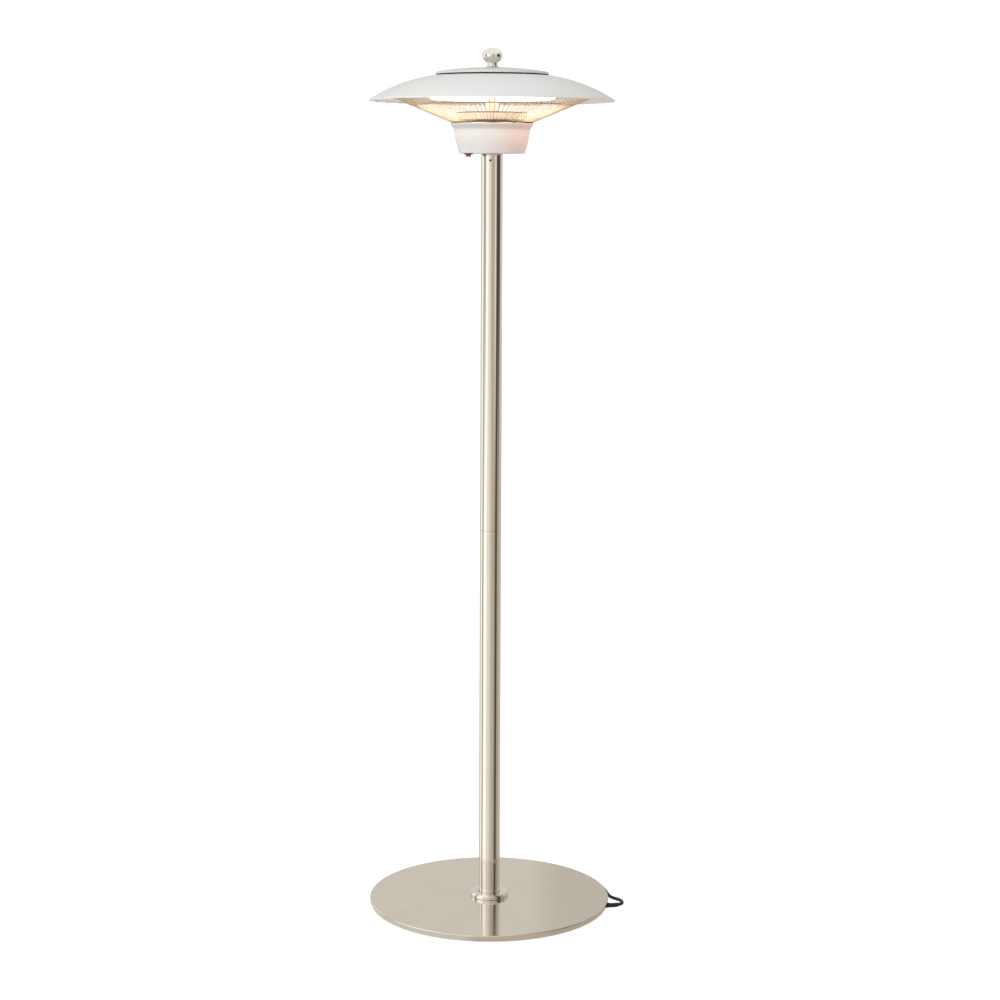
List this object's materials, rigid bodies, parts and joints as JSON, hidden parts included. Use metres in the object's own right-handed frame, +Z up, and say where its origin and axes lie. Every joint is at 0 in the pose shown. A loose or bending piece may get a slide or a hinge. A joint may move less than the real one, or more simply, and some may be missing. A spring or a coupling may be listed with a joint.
{
  "type": "patio heater",
  "caption": "Free-standing electric infrared patio heater: round steel base, tall brushed steel pole and a white shaded head with a wire guard and quartz ring",
  "frame": {"origin": "On the floor under the pole's axis, at the middle of the round base.", "axes": "+Z is up along the pole. -Y is the front, the side with the head's set screw. +X is the viewer's right, the side where the cord leaves the base."},
  "size_m": [0.6276, 0.9073, 2.0995],
  "materials": {
    "brushed_steel": "brushed",
    "polished_steel": "polished",
    "cast_iron": "rough painted",
    "zinc_steel": "zinc plated",
    "white_paint": "satin white powder coat",
    "bright_aluminium": "bright rolled",
    "guard_wire": "bright plated wire",
    "quartz": "glowing quartz",
    "ceramic": "matte",
    "black_plastic": "fine matte",
    "red_plastic": "smooth",
    "rubber": "matte",
    "cord_rubber": "matte jacket",
    "pin_metal": "turned",
    "black_screw": "black oxide"
  },
  "bodies": {
    "root": {"base_cover": "brushed_steel", "pole_lower": "brushed_steel", "pole_upper": "brushed_steel", "base_collar": "polished_steel", "knob": "polished_steel", "base_weight": "cast_iron", "foot_1": "rubber", "foot_2": "rubber", "foot_3": "rubber", "foot_4": "rubber", "foot_5": "rubber", "foot_6": "rubber", "cord_gland": "rubber", "cord_tie": "rubber", "plug_body": "rubber", "pole_socket": "zinc_steel", "base_bolt_1": "zinc_steel", "base_bolt_2": "zinc_steel", "base_bolt_3": "zinc_steel", "pole_joiner": "zinc_steel", "head_spigot": "zinc_steel", "spigot_screw_1": "zinc_steel", "spigot_screw_2": "zinc_steel", "spigot_screw_3": "zinc_steel", "shield_post_1": "zinc_steel", "shield_post_2": "zinc_steel", "shield_post_3": "zinc_steel", "centre_tube": "zinc_steel", "ring_clip_1": "zinc_steel", "ring_clip_2": "zinc_steel", "ring_clip_3": "zinc_steel", "hub_spacer": "zinc_steel", "cap_post_1": "zinc_steel", "cap_post_2": "zinc_steel", "cap_post_3": "zinc_steel", "centre_bolt": "zinc_steel", "socket_screw": "black_screw", "joiner_screw_lower": "black_screw", "joiner_screw_upper": "black_screw", "head_screw": "black_screw", "cup_housing": "white_paint", "shade": "white_paint", "vent_cap": "white_paint", "cup_lid": "bright_aluminium", "heat_shield": "bright_aluminium", "reflector": "bright_aluminium", "switch_case": "black_plastic", "tilt_switch": "black_plastic", "terminal_block": "ceramic", "ring_holder": "ceramic", "heating_ring": "quartz", "guard": "guard_wire", "guard_middle_ring": "guard_wire", "inner_cable": "cord_rubber", "cord_lead": "cord_rubber", "cord_hank": "cord_rubber", "cord_tail": "cord_rubber", "plug_pin_left": "pin_metal", "plug_pin_right": "pin_metal"},
    "rocker": {"switch_rocker": "red_plastic"}
  },
  "joints": [
    {"name": "switch_rocker_tilt", "type": "hinge", "parent": "root", "child": "rocker", "pos_m": [-0.0566, -0.018, 1.8471], "axis": [1, 0, 0], "range_deg": [-24, 0]}
  ]
}
